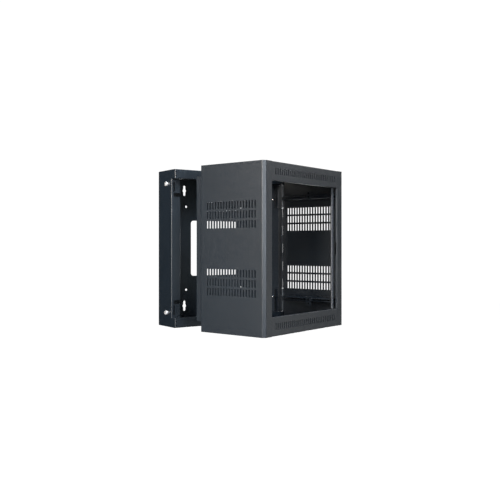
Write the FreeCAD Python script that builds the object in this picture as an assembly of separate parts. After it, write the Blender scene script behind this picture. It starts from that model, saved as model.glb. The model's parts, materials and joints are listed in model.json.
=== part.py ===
import FreeCAD, Part
import math
import os

from FreeCAD import Rotation, Vector

# Swing-out wall rack for 19 inch equipment, in millimetres.
# +Z is up, the wall is the plane y = 0 and the front faces -Y.
# The origin is the middle of the mounting face.

# Overall size
rack_unit = 44.45
rack_units = 12
opening_width = 482.6
stile_width = 50.8
border_height = 76.2
center_depth = 327.2
wall_depth = 152.4
parting_gap = 3.0

# Sheet metal
sheet = 1.5
bend_radius = 1.5
seam = 0.3

# Swing of the center section
rest_swing = 17.0
hinge_inset = 4.0
hinge_setback = 3.0
hinge_length = 381.0
hinge_knuckles = 9
knuckle_radius = 3.0
knuckle_gap = 0.3
leaf_sheet = 1.5
leaf_outer_inset = 1.0
leaf_width = 27.0
leaf_wing = 44.0
skirt_setback = 5.0
hinge_pin_radius = 1.5
hinge_pin_fit = 0.05
hinge_pin_head = 2.6
hinge_pin_head_height = 1.5
leaf_clearance = 0.6
leaf_screw_inset = 36.0
leaf_screw_z = 232.0
hinge_rivet_setback = 18.0
hinge_rivet_pitch = 75.0
hinge_rivet_count = 5

# Wall section
recess_depth = 33.0
recess_flange = 45.0
recess_return = 12.7
rear_flange = 25.0
front_tab = 14.5
rail_face = 40.5
rail_return = 30.5
relief_notch_start = 10.5
relief_notch_drop = 60.4
relief_notch_height = 17.0
rail_rivet_inset = 5.0
rail_rivet_margin = 10.5
rail_rivet_pitch = 17.2

# Back pan
cable_opening = 254.0
cable_corner = 12.7
bolt_spacing_x = 304.8
bolt_spacing_z = 381.0
bolt_hole_radius = 5.2
keyhole_spacing_x = 323.85
keyhole_spacing_z = 527.05
keyhole_height = 46.7
keyhole_slot = 11.0
keyhole_radius = 8.8

# Cam locks
lock_drop = 20.0
lock_setback = 76.2
bezel_radius = 9.5
bezel_height = 7.0
bezel_round = 1.2
barrel_radius = 7.8
barrel_length = 11.4
barrel_hole_gap = 0.15
plug_radius = 5.5
plug_fit = 0.05
plug_face_recess = 0.6
key_slot_width = 1.8
key_slot_height = 8.0
key_slot_depth = 4.0
lock_nut_width = 22.0
lock_nut_height = 3.0
shank_side = 6.0
cam_gap = 0.6
cam_sheet = 2.0
cam_hub_radius = 8.0
cam_lower_edge = 5.0
cam_upper_edge = 4.0
hook_rise = 10.0
hook_sheet = 2.4
hook_gap = 0.7
cam_slot_width = 7.0
cam_slot_clearance = 0.8
cam_slot_headroom = 1.8
cam_screw_radius = 4.0
cam_screw_height = 2.6
cam_screw_shank = 2.0
cam_screw_depth = 6.0
upper_cam_rest = 41.0
lower_cam_rest = 90.0

# Center section
bevel = 11.1
opening_return = 9.5
lip_inset = 4.5
lip_reach = 28.0
lip_return = 17.5
lip_clearance = 2.4
joggle_run = 5.0
panel_flange = 15.0
panel_flange_margin = 6.0
rear_hem = 25.0
rear_tab = 14.0
splice_width = 30.0
splice_margin = 12.0
strike_height = 57.0
strike_depth = 5.0

# Vent slots
vent_width = 6.5
vent_height = 30.0
vent_pitch = 14.5
vent_row_pitch = 38.5
vent_rows = 3
vent_group_height = 136.0
vent_front_margin = 45.5
vent_rear_margin = 34.0
hinge_vent_shift = 7.0
border_vent_width = 5.0
border_vent_height = 26.0
border_vent_margin = 16.0

# Rack rails
rail_sheet = 2.5
rail_flange = 15.875
rail_leg = 17.0
rail_setback = 17.0
rail_screw_setback = 9.5
rail_hole_inset = 8.75
rail_hole_edge = 7.5
rail_hole_radius = 2.4
rail_hole_steps = (6.35, 22.225, 38.1)

# Side braces
brace_drop = 33.2
brace_height = 17.0
brace_front = 19.0
brace_length = 282.0
brace_slot_height = 6.6
brace_slot_margin = 4.0
brace_bridge = 30.0
clip_setback = 150.0
clip_width = 26.0
clip_height = 38.0
clip_overhang = 2.5
clip_sheet = 2.0
clip_screw_rise = 17.5

# Screws and rivets
screw_radius = 2.4
screw_head_radius = 4.6
screw_head_height = 2.2
screw_head_round = 1.3
screw_fit = 0.15
screw_tail = 2.0
nut_width = 8.6
nut_height = 3.2
rivet_radius = 1.6
rivet_head_radius = 2.6
rivet_head_height = 0.9
rivet_head_round = 0.5
rivet_tail_height = 1.0
rivet_tail_radius = 2.2
rivet_fit = 0.05

# Sizes that follow from those above
opening_height = rack_units * rack_unit
height = opening_height + 2 * border_height
width = opening_width + 2 * stile_width
half_height = height / 2
half_width = width / 2
half_opening = opening_height / 2
parting_y = -wall_depth
recess_y = parting_y + recess_depth
center_back_y = parting_y - parting_gap
front_y = center_back_y - center_depth
rail_edge = half_height - rail_face
panel_top = half_height - sheet
pan_face_y = -sheet
bend_outer = bend_radius + sheet
hinge_x = half_width - hinge_inset
hinge_y = parting_y + hinge_setback
hinge_half = hinge_length / 2
lock_z = rail_edge - lock_drop
lock_y = parting_y + lock_setback
cam_x = -half_width + barrel_length + cam_gap
cam_slot_x = cam_x + cam_sheet / 2
hook_reach = lock_setback - lip_reach + sheet + hook_gap
cam_reach = hook_reach + hook_sheet
cam_sweep = math.hypot(cam_reach, hook_rise)
cam_slot_drop = math.sqrt(cam_sweep ** 2 - (lock_setback - recess_depth - sheet) ** 2)
cam_slot_low = lock_z - cam_slot_drop - cam_slot_clearance
cam_slot_high = lock_z + cam_upper_edge + cam_slot_headroom
lip_y = parting_y + lip_reach
lip_half = rail_edge - lip_clearance
lip_x = -half_width + lip_inset
border_half = opening_width / 2 + bend_outer - seam
rail_hole_x = opening_width / 2 - rail_hole_inset
rail_y = front_y + rail_setback
rail_inner_x = rail_hole_x - rail_hole_edge
rail_outer_x = rail_inner_x + rail_flange
rail_screw_y = rail_y + rail_screw_setback
brace_z = half_opening - brace_drop
brace_front_y = front_y + brace_front
brace_back_y = brace_front_y + brace_length
clip_y = front_y + clip_setback
leaf_half = rail_edge - seam


# Basic solids

def block(x, y, z):
    size = (x[1] - x[0], y[1] - y[0], z[1] - z[0])
    return Part.makeBox(*size, Vector(x[0], y[0], z[0]))


def rod(start, axis, radius, length):
    return Part.makeCylinder(radius, length, Vector(*start), Vector(*axis))


def hex_prism(start, axis, across_flats, length):
    corner = across_flats / math.sqrt(3)
    turns = [math.radians(60 * i) for i in range(7)]
    ring = [Vector(corner * math.cos(t), corner * math.sin(t), 0) for t in turns]
    prism = Part.Face(Part.makePolygon(ring)).extrude(Vector(0, 0, length))
    prism.Placement = FreeCAD.Placement(Vector(*start), Rotation(Vector(0, 0, 1), Vector(*axis)))
    return prism


def joined(shapes):
    return shapes[0].multiFuse(shapes[1:]).removeSplitter()


def mirrored_x(shape):
    return shape.mirror(Vector(0, 0, 0), Vector(1, 0, 0))


def mirrored_z(shape):
    return shape.mirror(Vector(0, 0, 0), Vector(0, 0, 1))


# Folded sheet: the path is one face of the sheet, and the metal lies on its left

def fold_corner(before, corner, after):
    d1 = (corner - before).normalize()
    d2 = (after - corner).normalize()
    n1 = Vector(-d1.y, d1.x, 0)
    n2 = Vector(-d2.y, d2.x, 0)
    turn = 1 if d1.cross(d2).z > 0 else -1
    radius = bend_outer if turn > 0 else bend_radius
    reach = radius * math.tan(d1.getAngle(d2) / 2)
    start = corner - d1 * reach
    end = corner + d2 * reach
    center = start + n1 * (radius * turn)
    return start, end, center, n1, n2, radius, turn


def fold_edges(points, offset):
    edges = []
    last = points[0] + side_normal(points[0], points[1]) * offset
    for before, corner, after in zip(points, points[1:], points[2:]):
        start, end, center, n1, n2, radius, turn = fold_corner(before, corner, after)
        arc_start = start + n1 * offset
        arc_end = end + n2 * offset
        toward = (corner - center).normalize()
        arc_middle = center + toward * (radius - turn * offset)
        edges.append((last, arc_start))
        edges.append((arc_start, arc_middle, arc_end))
        last = arc_end
    edges.append((last, points[-1] + side_normal(points[-2], points[-1]) * offset))
    return edges


def side_normal(a, b):
    d = (b - a).normalize()
    return Vector(-d.y, d.x, 0)


def make_edge(points):
    if len(points) == 2:
        return Part.makeLine(*points)
    return Part.Arc(*points).toShape()


def folded(path, span, thickness=sheet):
    points = [Vector(a, b, span[0]) for a, b in path]
    near = fold_edges(points, 0)
    far = [tuple(reversed(e)) for e in reversed(fold_edges(points, thickness))]
    outline = near + [(near[-1][-1], far[0][0])] + far + [(far[-1][-1], near[0][0])]
    wire = Part.Wire([make_edge(e) for e in outline])
    return Part.Face(wire).extrude(Vector(0, 0, span[1] - span[0]))


def folded_along_x(path, span):
    shape = folded(path, span)
    shape.rotate(Vector(0, 0, 0), Vector(1, 1, 1), 120)
    return shape


def folded_along_y(path, span):
    shape = folded(path, (-span[1], -span[0]))
    shape.rotate(Vector(0, 0, 0), Vector(1, 0, 0), 90)
    return shape


# Fasteners

def rivet(head_face, axis, grip):
    back = Vector(*axis)
    start = Vector(*head_face)
    head = rod(start - back * rivet_head_height, axis, rivet_head_radius, rivet_head_height)
    rim = [e for e in head.Edges if e.isClosed() and (e.CenterOfMass - start).Length > rivet_head_height / 2]
    head = head.makeFillet(rivet_head_round, rim)
    shank = rod(start, axis, rivet_radius - rivet_fit, grip)
    tail = rod(start + back * grip, axis, rivet_tail_radius, rivet_tail_height)
    return joined([head, shank, tail])


def pan_screw(head_face, axis, grip):
    back = Vector(*axis)
    start = Vector(*head_face)
    head = rod(start - back * screw_head_height, axis, screw_head_radius, screw_head_height)
    rim = [e for e in head.Edges if e.isClosed() and (e.CenterOfMass - start).Length > screw_head_height / 2]
    head = head.makeFillet(screw_head_round, rim)
    shank = rod(start, axis, screw_radius, grip + nut_height + screw_tail)
    return joined([head, shank])


def hex_nut(face, axis):
    blank = hex_prism(face, axis, nut_width, nut_height)
    return blank.cut(rod(face, axis, screw_radius, nut_height))


def hole(face, axis, radius, depth):
    start = Vector(*face) - Vector(*axis) * depth
    return rod(start, axis, radius, 2 * depth)


# Wall section

def cam_slot(y_span):
    half = cam_slot_width / 2
    upper = block((cam_slot_x - half, cam_slot_x + half), y_span, (cam_slot_low, cam_slot_high))
    return [upper, mirrored_z(upper)]


def rail_rivet_points():
    x = half_width - rail_rivet_inset
    top = half_height - rail_rivet_margin
    levels = [top, top - rail_rivet_pitch]
    return [(sx * x, parting_y, sz * z) for sx in (-1, 1) for sz in (-1, 1) for z in levels]


def side_channel(with_locks):
    inner = -half_width + recess_flange
    back = [(-half_width + rear_flange, pan_face_y), (-half_width, pan_face_y)]
    middle = back + [(-half_width, recess_y), (inner, recess_y), (inner, recess_y + recess_return)]
    ends = back + [(-half_width, parting_y), (-half_width + front_tab, parting_y)]
    end = folded(ends, (rail_edge, panel_top))
    body = joined([folded(middle, (-rail_edge, rail_edge)), end, mirrored_z(end)])
    cuts = cam_slot((recess_y - sheet, recess_y + 2 * sheet))
    cuts += [hole(p, (0, 1, 0), rivet_radius, 2 * sheet) for p in rail_rivet_points()]
    if with_locks:
        notch_z = rail_edge - relief_notch_drop
        notch = block((-half_width + relief_notch_start, inner + sheet),
                      (recess_y - sheet, recess_y + recess_return + sheet),
                      (notch_z - relief_notch_height, notch_z))
        cuts += [notch, mirrored_z(notch)]
        for side in (-1, 1):
            face = (-half_width, lock_y, side * lock_z)
            cuts.append(hole(face, (1, 0, 0), barrel_radius + barrel_hole_gap, 2 * sheet))
    else:
        cuts += [hole((-x, y, z), (0, 1, 0), screw_radius + screw_fit, 3 * sheet)
                 for x, y, z in leaf_screw_points()]
    return body.cut(Part.makeCompound(cuts))


def wall_rail():
    face_y = parting_y + sheet
    path = [(pan_face_y, half_height - rear_flange),
            (pan_face_y, half_height),
            (face_y, half_height),
            (face_y, rail_edge),
            (face_y + rail_return, rail_edge)]
    body = folded_along_x(path, (-half_width, half_width))
    corner_gap = bend_outer + seam
    side_cut = block((half_width - corner_gap, width), (-2 * wall_depth, wall_depth), (0, panel_top))
    back_cut = block((half_width - rear_flange - seam, width),
                     (pan_face_y - bend_outer - seam, wall_depth), (0, panel_top))
    cuts = [side_cut, back_cut, mirrored_x(side_cut), mirrored_x(back_cut)]
    cuts += [hole(p, (0, 1, 0), rivet_radius, 3 * sheet) for p in rail_rivet_points()]
    return body.cut(Part.makeCompound(cuts))


def keyhole(x, z):
    low = z - keyhole_height / 2 + keyhole_slot / 2
    high = z + keyhole_height / 2 - keyhole_slot / 2
    half = keyhole_slot / 2
    start = pan_face_y - sheet
    along = (0, 1, 0)
    pieces = [block((x - half, x + half), (start, sheet), (low, high))]
    pieces += [rod((x, start, end), along, half, sheet - start) for end in (low, high)]
    pieces.append(rod((x, start, z), along, keyhole_radius, sheet - start))
    return joined(pieces)


def back_pan():
    pan = block((-half_width, half_width), (pan_face_y, 0), (-half_height, half_height))
    half = cable_opening / 2
    window = block((-half, half), (pan_face_y - sheet, sheet), (-half, half))
    corners = [e for e in window.Edges if e.BoundBox.YLength > sheet]
    cuts = [window.makeFillet(cable_corner, corners)]
    for sx in (-1, 1):
        for sz in (-1, 1):
            cuts.append(keyhole(sx * keyhole_spacing_x / 2, sz * keyhole_spacing_z / 2))
            face = (sx * bolt_spacing_x / 2, pan_face_y, sz * bolt_spacing_z / 2)
            cuts.append(hole(face, (0, 1, 0), bolt_hole_radius, 2 * sheet))
    return pan.cut(Part.makeCompound(cuts))


# Continuous hinge: the knuckles alternate between the two leaves

def knuckle_span(index):
    step = hinge_length / hinge_knuckles
    low = -hinge_half + index * step
    return low + knuckle_gap / 2, low + step - knuckle_gap / 2


def knuckles(indexes):
    axis = (0, 0, 1)
    spans = [knuckle_span(i) for i in indexes]
    return [rod((hinge_x, hinge_y, a), axis, knuckle_radius, b - a) for a, b in spans]


def knuckle_windows(indexes):
    reach = knuckle_radius + leaf_clearance
    windows = []
    for low, high in [knuckle_span(i) for i in indexes]:
        windows.append(block((hinge_x - reach, half_width),
                             (hinge_y - reach, hinge_y + reach),
                             (low - knuckle_gap, high + knuckle_gap)))
    return windows


def hinge_bore():
    start = (hinge_x, hinge_y, -hinge_length)
    return rod(start, (0, 0, 1), hinge_pin_radius + hinge_pin_fit, 2 * hinge_length)


def leaf_screw_points():
    x = half_width - leaf_screw_inset
    return [(x, recess_y - leaf_sheet, side * leaf_screw_z) for side in (-1, 1)]


def hinge_wall_leaf():
    outer = half_width - leaf_outer_inset
    inner = half_width - leaf_wing
    path = [(outer, hinge_y), (outer, recess_y), (inner, recess_y)]
    plate = folded(path, (-leaf_half, leaf_half), leaf_sheet)
    end_cut = block((outer - 2 * leaf_sheet, half_width),
                    (hinge_y - leaf_sheet, hinge_y + skirt_setback), (hinge_half, half_height))
    fixed = range(0, hinge_knuckles, 2)
    swung = range(1, hinge_knuckles, 2)
    plate = plate.cut(Part.makeCompound(knuckle_windows(swung) + [end_cut, mirrored_z(end_cut)]))
    leaf = joined([plate] + knuckles(fixed))
    cuts = [hinge_bore()]
    cuts += [hole(p, (0, 1, 0), screw_radius + screw_fit, 2 * sheet) for p in leaf_screw_points()]
    return leaf.cut(Part.makeCompound(cuts))


def hinge_rivet_points():
    first = -hinge_rivet_pitch * (hinge_rivet_count - 1) / 2
    y = hinge_y - hinge_rivet_setback
    return [(half_width, y, first + i * hinge_rivet_pitch) for i in range(hinge_rivet_count)]


def hinge_center_leaf():
    inside = half_width - sheet
    plate = block((inside - leaf_sheet, inside), (hinge_y - leaf_width, hinge_y),
                  (-hinge_half, hinge_half))
    fixed = range(0, hinge_knuckles, 2)
    swung = range(1, hinge_knuckles, 2)
    plate = plate.cut(Part.makeCompound(knuckle_windows(fixed)))
    leaf = joined([plate] + knuckles(swung))
    cuts = [hinge_bore()]
    cuts += [hole(p, (-1, 0, 0), rivet_radius, 3 * sheet) for p in hinge_rivet_points()]
    return leaf.cut(Part.makeCompound(cuts))


def hinge_pin():
    low = (hinge_x, hinge_y, -hinge_half)
    stem = rod(low, (0, 0, 1), hinge_pin_radius, hinge_length)
    head = rod((hinge_x, hinge_y, hinge_half), (0, 0, 1), hinge_pin_head, hinge_pin_head_height)
    return joined([stem, head])


# Cam locks, modelled at the top; the lower one is the mirror image

def lock_point(depth):
    return -half_width + depth, lock_y, lock_z


def lock_housing():
    bezel = rod(lock_point(-bezel_height), (1, 0, 0), bezel_radius, bezel_height)
    rim = [e for e in bezel.Edges if e.isClosed() and e.CenterOfMass.x < -half_width - bezel_height / 2]
    bezel = bezel.makeFillet(bezel_round, rim)
    barrel = rod(lock_point(0), (1, 0, 0), barrel_radius, barrel_length)
    bore = rod(lock_point(-2 * bezel_height), (1, 0, 0), plug_radius + plug_fit,
               3 * bezel_height + barrel_length)
    return joined([bezel, barrel]).cut(bore)


def lock_nut():
    face = lock_point(sheet)
    blank = hex_prism(face, (1, 0, 0), lock_nut_width, lock_nut_height)
    return blank.cut(rod(face, (1, 0, 0), barrel_radius, lock_nut_height))


def lock_plug():
    start = -bezel_height + plug_face_recess
    end = barrel_length + cam_gap
    core = rod(lock_point(start), (1, 0, 0), plug_radius, end - start)
    half = shank_side / 2
    x, y, z = lock_point(end)
    shank = block((x, x + cam_sheet), (y - half, y + half), (z - half, z + half))
    key_x = lock_point(start)[0]
    key = block((key_x, key_x + key_slot_depth),
                (y - key_slot_width / 2, y + key_slot_width / 2),
                (z - key_slot_height / 2, z + key_slot_height / 2))
    socket = rod((x + cam_sheet - cam_screw_depth, y, z), (1, 0, 0), cam_screw_shank, cam_screw_depth)
    return joined([core, shank]).cut(Part.makeCompound([key, socket]))


def lock_cam():
    outline = [(0, -cam_lower_edge), (-cam_reach, -cam_lower_edge), (-cam_reach, hook_rise),
               (-hook_reach, hook_rise), (-hook_reach, cam_upper_edge), (0, cam_upper_edge)]
    ring = [Vector(cam_x, lock_y + a, lock_z + b) for a, b in outline + outline[:1]]
    arm = Part.Face(Part.makePolygon(ring)).extrude(Vector(cam_sheet, 0, 0))
    hub = rod((cam_x, lock_y, lock_z), (1, 0, 0), cam_hub_radius, cam_sheet)
    half = shank_side / 2
    square = block((cam_x - cam_sheet, cam_x + 2 * cam_sheet),
                   (lock_y - half, lock_y + half), (lock_z - half, lock_z + half))
    return joined([arm, hub]).cut(square)


def cam_screw():
    face = (cam_x + cam_sheet, lock_y, lock_z)
    head = rod(face, (1, 0, 0), cam_screw_radius, cam_screw_height)
    shank = rod(face, (-1, 0, 0), cam_screw_shank, cam_screw_depth)
    return joined([head, shank])


def turned_lock(shape, degrees, side):
    piece = shape if side > 0 else mirrored_z(shape)
    piece.rotate(Vector(-half_width, lock_y, side * lock_z), Vector(1, 0, 0), side * degrees)
    return piece


# Center section

def vent_slots(shift):
    usable = center_depth - vent_front_margin - vent_rear_margin
    columns = round(usable / vent_pitch) + 1
    slots = []
    for group in (-1, 1):
        for row in range(vent_rows):
            z = group * vent_group_height + (row - (vent_rows - 1) / 2) * vent_row_pitch
            for column in range(columns):
                y = front_y + vent_front_margin + shift + column * vent_pitch
                slots.append(block((-half_width - sheet, -half_width + 2 * sheet),
                                   (y - vent_width / 2, y + vent_width / 2),
                                   (z - vent_height / 2, z + vent_height / 2)))
    return slots


def side_panel(hinged):
    joggle_turn = math.atan2(lip_inset, joggle_run)
    joggle_y = center_back_y + bend_outer * math.tan(joggle_turn / 2)
    stile_x = -half_width + stile_width
    path = [(lip_x + lip_return, lip_y),
            (lip_x, lip_y),
            (lip_x, joggle_y + joggle_run),
            (-half_width, joggle_y),
            (-half_width, front_y + bevel),
            (-half_width + bevel, front_y),
            (stile_x, front_y),
            (stile_x, front_y + opening_return)]
    skin = folded(path, (-panel_top, panel_top))
    flange = block((-half_width + sheet / 2, -half_width + panel_flange),
                   (front_y + bevel + panel_flange_margin, center_back_y - panel_flange_margin),
                   (panel_top - sheet, panel_top))
    tab = block((-half_width + sheet / 2, -half_width + rear_tab),
                (center_back_y - sheet, center_back_y), (lip_half, panel_top))
    body = joined([skin, flange, mirrored_z(flange), tab, mirrored_z(tab)])
    past_back = (center_back_y, lip_y + sheet)
    lip_span = (-half_width - sheet, lip_x + lip_return + sheet)
    lip_end = block(lip_span, past_back, (lip_half, half_height))
    return_end = block((stile_x - bend_outer, stile_x + sheet),
                       (front_y - sheet, front_y + opening_return + sheet), (half_opening, half_height))
    strike = block((stile_x - 2 * sheet, stile_x + sheet),
                   (front_y + opening_return - strike_depth, front_y + opening_return + sheet),
                   (-strike_height / 2, strike_height / 2))
    cuts = [lip_end, mirrored_z(lip_end), return_end, mirrored_z(return_end), strike]
    cuts += vent_slots(hinge_vent_shift if hinged else 0)
    if hinged:
        hinge_zone = hinge_half + hinge_pin_head_height + knuckle_gap
        cuts.append(block(lip_span, past_back, (-hinge_zone, hinge_zone)))
        cuts += [hole((-x, y, z), (1, 0, 0), rivet_radius, 2 * sheet) for x, y, z in hinge_rivet_points()]
    else:
        cuts += cam_slot((lip_y - 2 * sheet, lip_y + sheet))
    return body.cut(Part.makeCompound(cuts))


def border_slots():
    count = int((opening_width - 2 * border_vent_margin) / vent_pitch)
    first = -vent_pitch * (count - 1) / 2
    z = half_opening + border_height / 2
    slots = []
    for i in range(count):
        x = first + i * vent_pitch
        slots.append(block((x - border_vent_width / 2, x + border_vent_width / 2),
                           (front_y - sheet, front_y + 2 * sheet),
                           (z - border_vent_height / 2, z + border_vent_height / 2)))
    return slots


def cap_panel():
    path = [(center_back_y, half_height - rear_hem),
            (center_back_y, half_height),
            (front_y, half_height),
            (front_y, half_opening),
            (front_y + opening_return, half_opening)]
    border = folded_along_x(path, (-border_half, border_half))
    ring = [(-half_width, center_back_y), (-half_width, front_y + bevel), (-half_width + bevel, front_y),
            (half_width - bevel, front_y), (half_width, front_y + bevel), (half_width, center_back_y)]
    corners = [Vector(x, y, panel_top) for x, y in ring + ring[:1]]
    plate = Part.Face(Part.makePolygon(corners)).extrude(Vector(0, 0, sheet))
    front_bend = block((-border_half, border_half), (front_y - sheet, front_y + bend_outer),
                       (panel_top - sheet, half_height + sheet))
    back_bend = block((-border_half, border_half), (center_back_y - bend_outer, center_back_y + sheet),
                      (panel_top - sheet, half_height + sheet))
    plate = plate.cut(front_bend).cut(back_bend)
    splice = block((border_half - splice_width / 2, border_half + splice_width / 2),
                   (front_y + sheet, front_y + 2 * sheet),
                   (half_opening + splice_margin, half_height - splice_margin))
    body = joined([border, plate, splice, mirrored_x(splice)])
    return body.cut(Part.makeCompound(border_slots()))


# Rack rails, braces and their hardware, modelled at the upper right

def rack_rail():
    path = [(rail_inner_x, rail_y), (rail_outer_x, rail_y), (rail_outer_x, rail_y + rail_leg)]
    rail = folded(path, (-half_opening, half_opening), rail_sheet)
    levels = [-half_opening + unit * rack_unit + step
              for unit in range(rack_units) for step in rail_hole_steps]
    cuts = [hole((rail_hole_x, rail_y, z), (0, 1, 0), rail_hole_radius, 2 * rail_sheet)
            for z in levels]
    cuts += [hole((rail_outer_x, rail_screw_y, side * brace_z), (1, 0, 0),
                  screw_radius + screw_fit, 2 * rail_sheet) for side in (-1, 1)]
    return rail.cut(Part.makeCompound(cuts))


def side_brace():
    wall_x = half_width - sheet
    low = brace_z - brace_height / 2
    high = brace_z + brace_height / 2
    path = [(wall_x, high), (rail_outer_x, high), (rail_outer_x, low), (wall_x, low)]
    body = folded_along_y(path, (brace_front_y, brace_back_y))
    half = brace_slot_height / 2
    slots = []
    for start, end in ((brace_front_y, clip_y - brace_bridge / 2), (clip_y + brace_bridge / 2, brace_back_y)):
        slots.append(block((rail_outer_x - sheet, rail_outer_x + 2 * sheet),
                           (start + brace_slot_margin, end - brace_slot_margin),
                           (brace_z - half, brace_z + half)))
    slots.append(hole((rail_outer_x, clip_y, brace_z), (1, 0, 0), screw_radius + screw_fit, 2 * sheet))
    return body.cut(Part.makeCompound(slots))


def clip_screw_points():
    x = rail_outer_x - clip_sheet
    return [(x, clip_y, brace_z), (x, clip_y, brace_z + clip_screw_rise)]


def brace_clip():
    low = brace_z - brace_height / 2 - clip_overhang
    plate = block((rail_outer_x - clip_sheet, rail_outer_x),
                  (clip_y - clip_width / 2, clip_y + clip_width / 2), (low, low + clip_height))
    cuts = [hole(p, (1, 0, 0), screw_radius + screw_fit, 2 * clip_sheet) for p in clip_screw_points()]
    return plate.cut(Part.makeCompound(cuts))


def clip_screws():
    web, spare = clip_screw_points()
    return [pan_screw(web, (1, 0, 0), clip_sheet + sheet), pan_screw(spare, (1, 0, 0), clip_sheet)]


def clip_nuts():
    web, spare = clip_screw_points()
    faces = [(web[0] + clip_sheet + sheet, web[1], web[2]), (spare[0] + clip_sheet, spare[1], spare[2])]
    return [hex_nut(face, (1, 0, 0)) for face in faces]


def rail_screw():
    face = (rail_outer_x - rail_sheet, rail_screw_y, brace_z)
    return pan_screw(face, (1, 0, 0), rail_sheet + sheet)


def rail_nut():
    return hex_nut((rail_outer_x + sheet, rail_screw_y, brace_z), (1, 0, 0))


def four_corners(shapes):
    right = shapes + [mirrored_z(s) for s in shapes]
    return Part.makeCompound(right + [mirrored_x(s) for s in right])


# Assembly

def wall_nodes():
    rail = wall_rail()
    nodes = {
        "back_pan": back_pan(),
        "wall_left_channel": side_channel(True),
        "wall_right_channel": mirrored_x(side_channel(False)),
        "wall_top_rail": rail,
        "wall_bottom_rail": mirrored_z(rail),
        "rail_rivets": Part.makeCompound([rivet(p, (0, 1, 0), 2 * sheet) for p in rail_rivet_points()]),
        "hinge_wall_leaf": hinge_wall_leaf(),
        "hinge_pin": hinge_pin(),
        "hinge_leaf_screws": Part.makeCompound(
            [pan_screw(p, (0, 1, 0), leaf_sheet + sheet) for p in leaf_screw_points()]),
        "hinge_leaf_nuts": Part.makeCompound(
            [hex_nut((x, recess_y + sheet, z), (0, 1, 0)) for x, y, z in leaf_screw_points()]),
    }
    for name, side, rest in (("upper", 1, upper_cam_rest), ("lower", -1, lower_cam_rest)):
        nodes[name + "_lock_housing"] = turned_lock(lock_housing(), 0, side)
        nodes[name + "_lock_nut"] = turned_lock(lock_nut(), 0, side)
        nodes[name + "_lock_plug"] = turned_lock(lock_plug(), rest, side)
        nodes[name + "_lock_cam"] = turned_lock(lock_cam(), rest, side)
        nodes[name + "_cam_screw"] = turned_lock(cam_screw(), rest, side)
    return nodes


def center_nodes():
    cap = cap_panel()
    rail = rack_rail()
    brace = side_brace()
    clip = brace_clip()
    nodes = {
        "center_left_panel": side_panel(False),
        "center_right_panel": mirrored_x(side_panel(True)),
        "center_top_panel": cap,
        "center_bottom_panel": mirrored_z(cap),
        "right_rack_rail": rail,
        "left_rack_rail": mirrored_x(rail),
        "hinge_center_leaf": hinge_center_leaf(),
        "hinge_rivets": Part.makeCompound(
            [rivet(p, (-1, 0, 0), sheet + leaf_sheet) for p in hinge_rivet_points()]),
        "rail_screws": four_corners([rail_screw()]),
        "rail_nuts": four_corners([rail_nut()]),
        "clip_screws": four_corners(clip_screws()),
        "clip_nuts": four_corners(clip_nuts()),
    }
    for name, shape in (("brace", brace), ("clip", clip)):
        nodes["right_upper_" + name] = shape
        nodes["right_lower_" + name] = mirrored_z(shape)
        nodes["left_upper_" + name] = mirrored_x(shape)
        nodes["left_lower_" + name] = mirrored_x(mirrored_z(shape))
    for shape in nodes.values():
        shape.rotate(Vector(hinge_x, hinge_y, 0), Vector(0, 0, 1), rest_swing)
    return nodes


os.makedirs("parts", exist_ok=True)
for name, shape in {**wall_nodes(), **center_nodes()}.items():
    shape.exportStep("parts/" + name + ".step")
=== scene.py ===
import bpy
import bmesh
import json
import math
from mathutils import Matrix, Vector


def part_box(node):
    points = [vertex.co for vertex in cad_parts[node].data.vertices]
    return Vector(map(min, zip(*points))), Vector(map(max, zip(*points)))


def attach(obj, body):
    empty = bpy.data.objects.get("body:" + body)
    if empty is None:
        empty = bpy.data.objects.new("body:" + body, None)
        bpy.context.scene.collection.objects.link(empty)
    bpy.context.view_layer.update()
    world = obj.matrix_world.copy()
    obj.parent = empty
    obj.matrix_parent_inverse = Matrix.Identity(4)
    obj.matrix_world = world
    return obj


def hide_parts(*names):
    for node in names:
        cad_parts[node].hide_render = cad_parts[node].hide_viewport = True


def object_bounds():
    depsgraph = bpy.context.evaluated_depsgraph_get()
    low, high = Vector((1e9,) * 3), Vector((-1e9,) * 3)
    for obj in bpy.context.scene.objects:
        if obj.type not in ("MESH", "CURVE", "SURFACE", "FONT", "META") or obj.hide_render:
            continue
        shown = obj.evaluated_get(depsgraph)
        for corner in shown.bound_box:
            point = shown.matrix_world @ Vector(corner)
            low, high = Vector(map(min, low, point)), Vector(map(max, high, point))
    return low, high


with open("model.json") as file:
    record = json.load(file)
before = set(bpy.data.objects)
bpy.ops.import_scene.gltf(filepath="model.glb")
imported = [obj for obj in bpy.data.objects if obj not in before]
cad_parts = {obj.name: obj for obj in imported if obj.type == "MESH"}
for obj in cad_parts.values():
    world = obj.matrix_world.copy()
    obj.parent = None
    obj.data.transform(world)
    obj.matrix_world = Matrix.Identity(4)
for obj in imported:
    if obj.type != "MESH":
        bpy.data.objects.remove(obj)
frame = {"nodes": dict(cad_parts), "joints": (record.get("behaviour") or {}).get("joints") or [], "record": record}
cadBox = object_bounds()                                   # the CAD model's own box, before any dressing
swingJoint = frame["joints"][0]                        # the cabinet's hinge
restSwing = math.radians(-swingJoint["range_deg"][0])  # how far the cabinet stands open
swingTurn = Matrix.Rotation(restSwing, 4, "Z")
acrossCabinet = swingTurn @ Vector((1, 0, 0))
intoCabinet = swingTurn @ Vector((0, 1, 0))
print("frame loaded:", len(frame["nodes"]), "nodes")


# small helpers

sameSpot = 1e-6   # points closer than this are one
placeDigits = 4   # solids are put in order by their places, to a tenth of a millimetre
lengthDigits = 5  # fasteners whose lengths agree to a hundredth of a millimetre share a master


def deselectAll():
    if bpy.context.mode != "OBJECT":
        bpy.ops.object.mode_set(mode="OBJECT")
    bpy.ops.object.select_all(action="DESELECT")


def pick(obj):
    deselectAll()
    obj.select_set(True)
    bpy.context.view_layer.objects.active = obj


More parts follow.
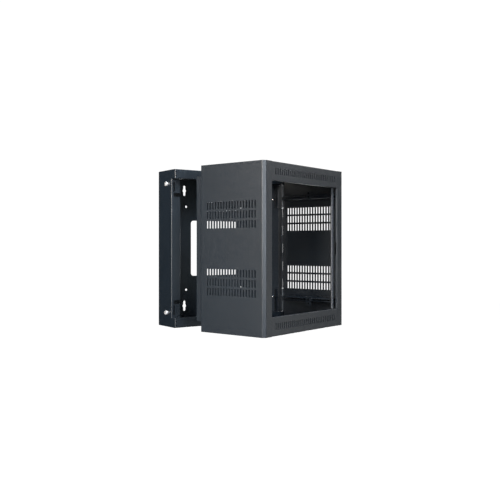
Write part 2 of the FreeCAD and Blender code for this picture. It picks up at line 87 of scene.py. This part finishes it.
def pickFaces(obj, test):  # leaves edit mode on, with the faces that pass the test selected
    pick(obj)
    for part in (obj.data.vertices, obj.data.edges, obj.data.polygons):
        part.foreach_set("select", [False] * len(part))
    for face in obj.data.polygons:
        face.select = test(face)
    bpy.ops.object.mode_set(mode="EDIT")
    bpy.ops.mesh.select_mode(type="FACE")


def combine(obj, tool, operation):  # boolean of two solids, which uses up the tool
    cut = obj.modifiers.new("cut", "BOOLEAN")
    cut.operation = operation
    cut.solver = "EXACT"
    cut.object = tool
    pick(obj)
    bpy.ops.object.modifier_apply(modifier=cut.name)
    bpy.data.objects.remove(tool)


def joinAll(pieces, name):
    deselectAll()
    for piece in pieces:
        piece.select_set(True)
    bpy.context.view_layer.objects.active = pieces[0]
    bpy.ops.object.join()
    pieces[0].name = name
    pieces[0].data.name = name
    return pieces[0]


def middleOf(points):
    return sum(points, Vector()) / len(points)


def spanAlong(points, axis):
    reach = [p.dot(axis) for p in points]
    return min(reach), max(reach)


def islandsOf(node):  # the separate solids of a node, each as its list of corner points
    mesh = bmesh.new()
    mesh.from_mesh(frame["nodes"][node].data)
    bmesh.ops.remove_doubles(mesh, verts=mesh.verts, dist=sameSpot)
    waiting = set(mesh.verts)
    islands = []
    for start in mesh.verts:
        if start not in waiting:
            continue
        waiting.remove(start)
        queue = [start]
        found = []
        while queue:
            vert = queue.pop()
            found.append(vert.co.copy())
            for edge in vert.link_edges:
                other = edge.other_vert(vert)
                if other in waiting:
                    waiting.remove(other)
                    queue.append(other)
        islands.append(found)
    mesh.free()
    return sorted(islands, key=lambda points: tuple(round(v, placeDigits) for v in middleOf(points)))


# paint and plating

def nodeTree(name):
    material = bpy.data.materials.new(name)
    material.use_nodes = True
    tree = material.node_tree
    return material, tree, tree.nodes["Principled BSDF"]


def addNode(tree, kind, **settings):
    node = tree.nodes.new(kind)
    for key, value in settings.items():
        if key in node.inputs:
            node.inputs[key].default_value = value
        else:
            setattr(node, key, value)
    return node


def noiseFrom(tree, coords, scale, detail):
    noise = addNode(tree, "ShaderNodeTexNoise", Scale=scale, Detail=detail)
    tree.links.new(coords.outputs["Object"], noise.inputs["Vector"])
    return noise.outputs["Fac"]


def spread(tree, source, low, high, fromLow=0.3, fromHigh=0.7):  # maps a noise's usual span onto a range
    mapped = addNode(tree, "ShaderNodeMapRange")
    mapped.inputs["From Min"].default_value = fromLow
    mapped.inputs["From Max"].default_value = fromHigh
    mapped.inputs["To Min"].default_value = low
    mapped.inputs["To Max"].default_value = high
    tree.links.new(source, mapped.inputs["Value"])
    return mapped.outputs["Result"]


def mixColors(tree, factor, first, second):
    mix = addNode(tree, "ShaderNodeMix", data_type="RGBA")
    mix.inputs["A"].default_value = first
    mix.inputs["B"].default_value = second
    tree.links.new(factor, mix.inputs["Factor"])
    return mix


def bumpFrom(tree, height, strength, depth):
    bump = addNode(tree, "ShaderNodeBump", Strength=strength, Distance=depth)
    tree.links.new(height, bump.inputs["Height"])
    return bump


coat = dict(dark=(0.0010, 0.0029, 0.0054, 1), light=(0.0018, 0.0042, 0.0076, 1),
            roughness=(0.36, 0.48), hingeRoughness=(0.66, 0.76), depth=0.00035,
            grainScale=1400.0, grainDetail=2.0, grainShare=(-0.2, 0.4), grainBump=0.22,
            peelScale=170.0, peelDetail=1.0, peelBump=0.18,
            cloudScale=7.0, cloudDetail=4.0, cloudShare=(0.0, 0.6))


def powderCoat(name, roughness):  # fine-grained black coat: grain, orange peel and faint clouding
    material, tree, shader = nodeTree(name)
    coords = addNode(tree, "ShaderNodeTexCoord")
    grain = noiseFrom(tree, coords, coat["grainScale"], coat["grainDetail"])
    peel = noiseFrom(tree, coords, coat["peelScale"], coat["peelDetail"])
    cloud = noiseFrom(tree, coords, coat["cloudScale"], coat["cloudDetail"])
    lightness = addNode(tree, "ShaderNodeMath", operation="ADD", use_clamp=True)
    tree.links.new(spread(tree, cloud, *coat["cloudShare"]), lightness.inputs[0])
    tree.links.new(spread(tree, grain, *coat["grainShare"]), lightness.inputs[1])
    tint = mixColors(tree, lightness.outputs[0], coat["dark"], coat["light"])
    tree.links.new(tint.outputs["Result"], shader.inputs["Base Color"])
    tree.links.new(spread(tree, peel, *roughness), shader.inputs["Roughness"])
    peelBump = bumpFrom(tree, peel, coat["peelBump"], coat["depth"])
    grainBump = bumpFrom(tree, grain, coat["grainBump"], coat["depth"])
    tree.links.new(peelBump.outputs["Normal"], grainBump.inputs["Normal"])
    tree.links.new(grainBump.outputs["Normal"], shader.inputs["Normal"])
    return material


zinc = dict(bright=(0.66, 0.66, 0.64, 1), dull=(0.42, 0.42, 0.41, 1), roughness=(0.14, 0.24),
            spangleScale=420.0, spangleDetail=3.0, grainScale=2600.0, grainDetail=2.0,
            bump=0.15, depth=0.0001)


def zincPlate(name):  # plated steel with a faint spangle and a fine grain
    material, tree, shader = nodeTree(name)
    shader.inputs["Metallic"].default_value = 1.0
    coords = addNode(tree, "ShaderNodeTexCoord")
    spangle = noiseFrom(tree, coords, zinc["spangleScale"], zinc["spangleDetail"])
    grain = noiseFrom(tree, coords, zinc["grainScale"], zinc["grainDetail"])
    tint = mixColors(tree, spread(tree, spangle, 0.0, 1.0), zinc["dull"], zinc["bright"])
    tree.links.new(tint.outputs["Result"], shader.inputs["Base Color"])
    tree.links.new(spread(tree, spangle, *zinc["roughness"]), shader.inputs["Roughness"])
    bump = bumpFrom(tree, grain, zinc["bump"], zinc["depth"])
    tree.links.new(bump.outputs["Normal"], shader.inputs["Normal"])
    return material


railFace = dict(bright=(0.27, 0.28, 0.31, 1), dull=(0.17, 0.18, 0.20, 1), roughness=(0.44, 0.56),
                depth=0.0029, fade=0.0005)


def platedFace(name, node):  # rail coloured as plated metal on its front face and as black paint on the legs behind it, split by depth into the cabinet
    material, tree, shader = nodeTree(name)
    corners = [v.co for v in frame["nodes"][node].data.vertices]
    paintStart = spanAlong(corners, intoCabinet)[0] + railFace["depth"]
    edge = (paintStart, paintStart + railFace["fade"])
    coords = addNode(tree, "ShaderNodeTexCoord")
    spangle = noiseFrom(tree, coords, zinc["spangleScale"], zinc["spangleDetail"])
    grain = noiseFrom(tree, coords, coat["grainScale"], coat["grainDetail"])
    behind = addNode(tree, "ShaderNodeVectorMath", operation="DOT_PRODUCT")
    behind.inputs[1].default_value = intoCabinet
    tree.links.new(coords.outputs["Object"], behind.inputs[0])
    painted = spread(tree, behind.outputs["Value"], 0.0, 1.0, *edge)
    plating = mixColors(tree, spread(tree, spangle, 0.0, 1.0), railFace["dull"], railFace["bright"])
    tint = mixColors(tree, painted, railFace["dull"], coat["dark"])
    tree.links.new(plating.outputs["Result"], tint.inputs["A"])
    tree.links.new(tint.outputs["Result"], shader.inputs["Base Color"])
    tree.links.new(spread(tree, behind.outputs["Value"], 1.0, 0.0, *edge), shader.inputs["Metallic"])
    rough = addNode(tree, "ShaderNodeMix", data_type="FLOAT")
    tree.links.new(painted, rough.inputs["Factor"])
    tree.links.new(spread(tree, spangle, *railFace["roughness"]), rough.inputs["A"])
    tree.links.new(spread(tree, grain, *coat["roughness"]), rough.inputs["B"])
    tree.links.new(rough.outputs["Result"], shader.inputs["Roughness"])
    bump = bumpFrom(tree, grain, coat["grainBump"], coat["depth"])
    tree.links.new(bump.outputs["Normal"], shader.inputs["Normal"])
    return material


chrome = dict(color=(0.80, 0.80, 0.81, 1), roughness=(0.46, 0.54), smudgeScale=160.0, smudgeDetail=4.0,
              grainScale=1800.0, grainDetail=2.0, bump=0.08, depth=0.00005)


def lockChrome(name):  # satin plating, slightly smudged by keys and fingers
    material, tree, shader = nodeTree(name)
    shader.inputs["Metallic"].default_value = 1.0
    shader.inputs["Base Color"].default_value = chrome["color"]
    coords = addNode(tree, "ShaderNodeTexCoord")
    smudge = noiseFrom(tree, coords, chrome["smudgeScale"], chrome["smudgeDetail"])
    grain = noiseFrom(tree, coords, chrome["grainScale"], chrome["grainDetail"])
    tree.links.new(spread(tree, smudge, *chrome["roughness"]), shader.inputs["Roughness"])
    bump = bumpFrom(tree, grain, chrome["bump"], chrome["depth"])
    tree.links.new(bump.outputs["Normal"], shader.inputs["Normal"])
    return material


oxide = dict(dark=(0.003, 0.003, 0.004, 1), worn=(0.010, 0.010, 0.012, 1), roughness=(0.34, 0.52),
             metallic=0.95, mottleScale=520.0, mottleDetail=3.0, grainScale=2200.0, grainDetail=2.0,
             bump=0.12, depth=0.00008)


def blackOxide(name):  # thin black conversion finish that wears to a dark grey
    material, tree, shader = nodeTree(name)
    shader.inputs["Metallic"].default_value = oxide["metallic"]
    coords = addNode(tree, "ShaderNodeTexCoord")
    mottle = noiseFrom(tree, coords, oxide["mottleScale"], oxide["mottleDetail"])
    grain = noiseFrom(tree, coords, oxide["grainScale"], oxide["grainDetail"])
    tint = mixColors(tree, spread(tree, mottle, 0.0, 1.0), oxide["dark"], oxide["worn"])
    tree.links.new(tint.outputs["Result"], shader.inputs["Base Color"])
    tree.links.new(spread(tree, mottle, *oxide["roughness"]), shader.inputs["Roughness"])
    bump = bumpFrom(tree, grain, oxide["bump"], oxide["depth"])
    tree.links.new(bump.outputs["Normal"], shader.inputs["Normal"])
    return material


finishes = {
    "powder_coat": powderCoat("blackPowderCoat", coat["roughness"]),
    "zinc_plate": zincPlate("zincPlate"),
    "lock_chrome": lockChrome("lockChrome"),
    "black_oxide": blackOxide("blackOxide"),
}


def coverWith(obj, material):
    obj.data.materials.clear()
    obj.data.materials.append(material)


for part in frame["record"]["subparts"]:
    coverWith(frame["nodes"][part["node"]], finishes[part["material_slot"]])
hingeCoat = powderCoat("mattHingeCoat", coat["hingeRoughness"])
for leaf in ("hinge_wall_leaf", "hinge_center_leaf"):
    coverWith(frame["nodes"][leaf], hingeCoat)
railPlating = platedFace("railPlating", "right_rack_rail")
for side in ("left", "right"):
    coverWith(frame["nodes"][side + "_rack_rail"], railPlating)
print("finishes applied")


# screws, nuts and rivets

def ringsOf(shares, radius, height, start=0.0):  # an outline's points from shares of a radius and a height
    return [(across * radius, start + along * height) for across, along in shares]


def turnedPiece(name, outline, steps):  # spins an outline of (radius, height) points round the Z axis
    deselectAll()
    bpy.ops.mesh.primitive_plane_add(size=0.001)  # only a seed, merged to one point
    piece = bpy.context.object
    piece.name = name
    bpy.ops.object.mode_set(mode="EDIT")
    bpy.ops.mesh.select_mode(type="VERT")
    bpy.ops.mesh.select_all(action="SELECT")
    bpy.ops.mesh.merge(type="CENTER")
    bpy.ops.transform.translate(value=(outline[0][0], 0, outline[0][1]))
    for (r0, z0), (r1, z1) in zip(outline, outline[1:]):
        bpy.ops.mesh.extrude_region_move(TRANSFORM_OT_translate={"value": (r1 - r0, 0, z1 - z0)})
    bpy.ops.mesh.select_all(action="SELECT")
    bpy.ops.mesh.spin(steps=steps, angle=2 * math.pi, center=(0, 0, 0), axis=(0, 0, 1))
    bpy.ops.mesh.select_all(action="SELECT")
    bpy.ops.mesh.remove_doubles(threshold=sameSpot)
    bpy.ops.mesh.normals_make_consistent(inside=False)
    bpy.ops.object.mode_set(mode="OBJECT")
    return piece


sheetScrew = dict(head=0.0046, headHeight=0.0022, shank=0.0024, threadDepth=0.00025, threadPitch=0.0008,
                  recessReach=0.0026, recessWidth=0.0010, recessDepth=0.0013, recessTaper=0.55,
                  steps=32,  # and two outlines, in shares of the head, and of the shank from its end
                  crown=((0, 0), (0.50, 0.02), (0.76, 0.12), (0.92, 0.34), (1, 0.66), (1, 0.94), (0.97, 1)),
                  tip=((0.72, 0.2), (0.60, 0), (0, 0)))
camScrew = dict(sheetScrew, head=0.0040, headHeight=0.0026, shank=0.0020, recessReach=0.0023)


def threadRings(size, start, end):
    rings = []
    z = start + size["threadPitch"]
    while z + size["threadPitch"] < end:
        rings += [(size["shank"] - size["threadDepth"], z), (size["shank"], z + size["threadPitch"] / 2)]
        z += size["threadPitch"]
    return rings


def recessBar(size, turn):  # one arm of a cross recess, narrower at its bottom
    deselectAll()
    bpy.ops.mesh.primitive_cube_add(size=1, rotation=(0, 0, turn))
    bar = bpy.context.object
    bar.scale = (2 * size["recessReach"], size["recessWidth"], 2 * size["recessDepth"])
    bpy.ops.object.transform_apply(location=False, rotation=True, scale=True)
    pickFaces(bar, lambda face: face.normal.z > 0.9)  # the end inside the head
    bpy.ops.transform.resize(value=(size["recessTaper"], size["recessTaper"], 1))
    bpy.ops.object.mode_set(mode="OBJECT")
    return bar


def panScrew(name, size, length):  # head at the origin, shank along +Z
    head, height, shank = size["head"], size["headHeight"], size["shank"]
    outline = ringsOf(size["crown"], head, height) + [(shank, height)]
    outline += threadRings(size, height, length - size["threadPitch"])
    outline += ringsOf(size["tip"], shank, -shank, length)
    piece = turnedPiece(name, outline, size["steps"])
    for turn in (0, math.pi / 2):
        combine(piece, recessBar(size, turn), "DIFFERENCE")
    return piece


sheetNut = dict(flats=0.0086, bore=0.0024, chamfer=0.0005, steps=48,
                faceShare=0.49,    # radius of the flat face, against the width across the flats
                cornerRoom=1.02)   # how far the rounding tool reaches past the corners
barrelNut = dict(sheetNut, flats=0.0220, bore=0.0078, chamfer=0.0007)


def hexNut(name, size, height):  # faces on the XY plane, chamfered at both ends and bored right through
    corner = size["flats"] / math.sqrt(3)
    room = size["cornerRoom"] * corner
    face = size["faceShare"] * size["flats"]
    edge, bore = size["chamfer"], size["bore"]
    mouth = bore + 2 * edge
    deselectAll()
    bpy.ops.mesh.primitive_cylinder_add(vertices=6, radius=corner, depth=height, location=(0, 0, height / 2))
    nut = bpy.context.object
    nut.name = name
    bpy.ops.object.transform_apply(location=True, rotation=False, scale=False)
    rounder = [(0, 0), (face, 0), (room, edge), (room, height - edge), (face, height), (0, height)]
    combine(nut, turnedPiece("nutRounder", rounder, size["steps"]), "INTERSECT")
    drill = [(0, -edge), (mouth, -edge), (bore, edge),
             (bore, height - edge), (mouth, height + edge), (0, height + edge)]
    combine(nut, turnedPiece("nutBore", drill, size["steps"]), "DIFFERENCE")
    return nut


blindRivet = dict(head=0.0026, headHeight=0.0009, shank=0.00155, tail=0.0022, tailHeight=0.0010,
                  pinHole=0.00075, steps=28,  # and three outlines, in shares of what they belong to
                  pin=((0, 0.5), (0.8, 0.5), (1, 0.08), (1.25, 0)),  # of the hole and the head's height
                  crown=((0.62, 0.14), (0.85, 0.45), (0.98, 0.80), (1, 0.93), (0.97, 1)),  # of the head
                  bulge=((0.92, 1), (1, 0.6), (0.8, 0.12), (0.45, 0), (0, 0)))  # of the tail, from its end
railRivet = dict(blindRivet, head=0.0032)


def domedRivet(name, size, length):  # domed head at the origin, the broken pin in its middle, bulged tail
    height, shank = size["headHeight"], size["shank"]
    outline = ringsOf(size["pin"], size["pinHole"], height) + ringsOf(size["crown"], size["head"], height)
    outline += [(shank, height), (shank, length - size["tailHeight"])]
    outline += ringsOf(size["bulge"], size["tail"], -size["tailHeight"], length)
    return turnedPiece(name, outline, size["steps"])


def seatOf(points, axis):  # where a fastener's head begins, and its length along the axis
    low, high = spanAlong(points, axis)
    across = axis.orthogonal().normalized()
    up = axis.cross(across)
    middle = across * (sum(spanAlong(points, across)) / 2) + up * (sum(spanAlong(points, up)) / 2)
    return middle + axis * low, high - low


def outwardAxis(points):  # points from the cabinet's middle to its nearer side
    cabinetMiddle = sum(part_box("center_top_panel"), Vector()) / 2
    return acrossCabinet if (middleOf(points) - cabinetMiddle).dot(acrossCabinet) > 0 else -acrossCabinet


fitting = dict(headTurn=37, smoothAngle=35)  # degrees; no two heads in a row stop at the same angle


def dress(node, body, maker, size, axisOf, slot):  # copies of one fastener in place of a node's plain ones
    masters = {}
    copies = []
    for index, points in enumerate(islandsOf(node)):
        axis = axisOf(points) if callable(axisOf) else Vector(axisOf)
        seat, length = seatOf(points, axis)
        key = round(length, lengthDigits)
        if key not in masters:
            masters[key] = maker(node + "Master", size, length)
        copy = masters[key].copy()
        copy.data = masters[key].data.copy()
        bpy.context.collection.objects.link(copy)
        aim = axis.to_track_quat("Z", "Y").to_matrix().to_4x4()
        turn = Matrix.Rotation(math.radians(fitting["headTurn"] * index), 4, "Z")
        copy.matrix_world = Matrix.Translation(seat) @ aim @ turn
        copies.append(copy)
    for master in masters.values():
        bpy.data.objects.remove(master)
    piece = joinAll(copies, node + "Dressed")
    pick(piece)
    bpy.ops.object.transform_apply(location=True, rotation=True, scale=True)
    bpy.ops.object.shade_smooth_by_angle(angle=math.radians(fitting["smoothAngle"]))
    coverWith(piece, finishes[slot])
    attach(piece, body)
    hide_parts(node)


dress("rail_screws", "center_section", panScrew, sheetScrew, outwardAxis, "black_oxide")
dress("clip_screws", "center_section", panScrew, sheetScrew, outwardAxis, "black_oxide")
dress("rail_nuts", "center_section", hexNut, sheetNut, outwardAxis, "black_oxide")
dress("clip_nuts", "center_section", hexNut, sheetNut, outwardAxis, "black_oxide")
dress("hinge_leaf_screws", "wall_section", panScrew, sheetScrew, (0, 1, 0), "zinc_plate")
dress("hinge_leaf_nuts", "wall_section", hexNut, sheetNut, (0, 1, 0), "zinc_plate")
dress("rail_rivets", "wall_section", domedRivet, railRivet, (0, 1, 0), "black_oxide")
dress("hinge_rivets", "center_section", domedRivet, blindRivet, -acrossCabinet, "powder_coat")
for level in ("upper", "lower"):
    dress(level + "_cam_screw", level + "_lock", panScrew, camScrew, (-1, 0, 0), "zinc_plate")
    dress(level + "_lock_nut", "wall_section", hexNut, barrelNut, (1, 0, 0), "zinc_plate")
print("screws, nuts and rivets dressed")


# floor, light and camera

studio = dict(floorDrop=2.5, floorSize=60.0, floorColor=(0.93, 0.93, 0.93, 1), floorRoughness=0.9,
              floorGlow=1.1, skyColor=(1, 1, 1, 1), skyLight=0.0, skySeen=1.05,
              lampDistance=4.0, lampSize=1.6, lampTarget=(0.0, -0.25, 0.0))


def studioFloor():
    deselectAll()
    low = cadBox[0].z - studio["floorDrop"]
    bpy.ops.mesh.primitive_plane_add(size=studio["floorSize"], location=(0, 0, low))
    floor = bpy.context.object
    floor.name = "studioFloor"
    material, _, shader = nodeTree("paleFloor")
    shader.inputs["Base Color"].default_value = studio["floorColor"]
    shader.inputs["Roughness"].default_value = studio["floorRoughness"]
    shader.inputs["Emission Color"].default_value = studio["floorColor"]
    shader.inputs["Emission Strength"].default_value = studio["floorGlow"]
    coverWith(floor, material)
    floor.visible_diffuse = False  # the pale floor is only a backdrop, the lamps do the lighting
    floor.visible_glossy = False


def studioSky():  # white where the camera sees it, and no light of its own
    world = bpy.data.worlds.new("studioSky")
    world.use_nodes = True
    bpy.context.scene.world = world
    tree = world.node_tree
    background = tree.nodes["Background"]
    background.inputs["Color"].default_value = studio["skyColor"]
    seen = addNode(tree, "ShaderNodeLightPath")
    strength = addNode(tree, "ShaderNodeMix", data_type="FLOAT")
    strength.inputs["A"].default_value = studio["skyLight"]
    strength.inputs["B"].default_value = studio["skySeen"]
    tree.links.new(seen.outputs["Is Camera Ray"], strength.inputs["Factor"])
    tree.links.new(strength.outputs["Result"], background.inputs["Strength"])


paleBlue = (0.97, 1.00, 1.03)
lamps = {  # degrees and watts; headings turn from straight ahead towards the left
    "keyLeft": dict(heading=65, rise=30, power=540.0, tint=(1.10, 1.01, 0.91)),
    "sideLeft": dict(heading=65, rise=8, power=150.0, tint=(1.08, 1.01, 0.92)),
    "sideFill": dict(heading=80, rise=-12, power=24.0, tint=(0.95, 1.00, 1.05)),
    "rearFill": dict(heading=110, rise=-12, power=3.8, tint=(0.90, 1.00, 1.10)),
    "highFront": dict(heading=5, rise=55, power=227.0, tint=(0.80, 1.01, 1.19)),
    "frontPanel": dict(heading=20, rise=8, power=66.0, tint=(1.02, 1.00, 0.98)),
    "lowFront": dict(heading=5, rise=8, power=58.0, tint=(0.75, 0.99, 1.26)),
    "highRight": dict(heading=-75, rise=30, power=45.0, tint=(1.03, 1.00, 0.97)),
    "edgeRight": dict(heading=-95, rise=-12, power=4.5, tint=paleBlue),
    "rightPanel": dict(heading=-55, rise=8, power=10.8, tint=(1.02, 1.01, 0.97)),
    "lowRight": dict(heading=-55, rise=-12, power=16.4, tint=(1.03, 1.01, 0.96)),
    "rightFill": dict(heading=-35, rise=-12, power=6.3, tint=(0.89, 1.04, 1.07)),
    "backFill": dict(heading=180, rise=55, power=150.0, tint=paleBlue),
    "lowBack": dict(heading=-140, rise=-30, power=110.0, tint=paleBlue),
    "backRight": dict(heading=-140, rise=-12, power=80.0, tint=paleBlue),
    "farRight": dict(heading=-115, rise=8, power=45.0, tint=paleBlue),
    "topFill": dict(heading=90, rise=85, power=50.0, tint=paleBlue),
}


def softBox(name, heading, rise, power, tint):
    target = Vector(studio["lampTarget"])
    turn, lift = math.radians(heading), math.radians(rise)
    toward = Vector((-math.sin(turn) * math.cos(lift), -math.cos(turn) * math.cos(lift), math.sin(lift)))
    deselectAll()
    bpy.ops.object.light_add(type="AREA", location=target + toward * studio["lampDistance"])
    lamp = bpy.context.object
    lamp.name = name
    lamp.data.shape = "SQUARE"
    lamp.data.size = studio["lampSize"]
    lamp.data.energy = power
    lamp.data.color = tint
    lamp.rotation_euler = (-toward).to_track_quat("-Z", "Y").to_euler()
    lamp.visible_camera = False


photoCamera = dict(place=(-1.748, -2.817, 0.0165), heading=34.74, sensor=36.0,
                   focal=701.7, horizonRise=5.34, frame=500.0)  # these three in pixels


def cameraAtPhoto():
    deselectAll()
    bpy.ops.object.camera_add(location=photoCamera["place"])
    camera = bpy.context.object
    camera.name = "photoCamera"
    camera.rotation_euler = (math.radians(90), 0, -math.radians(photoCamera["heading"]))
    camera.data.sensor_width = photoCamera["sensor"]
    camera.data.lens = photoCamera["focal"] / photoCamera["frame"] * photoCamera["sensor"]
    camera.data.shift_y = -photoCamera["horizonRise"] / photoCamera["frame"]
    bpy.context.scene.camera = camera


studioFloor()
studioSky()
for name, lamp in lamps.items():
    softBox(name, **lamp)
cameraAtPhoto()
bpy.context.scene.view_settings.view_transform = "Standard"
print("studio ready")
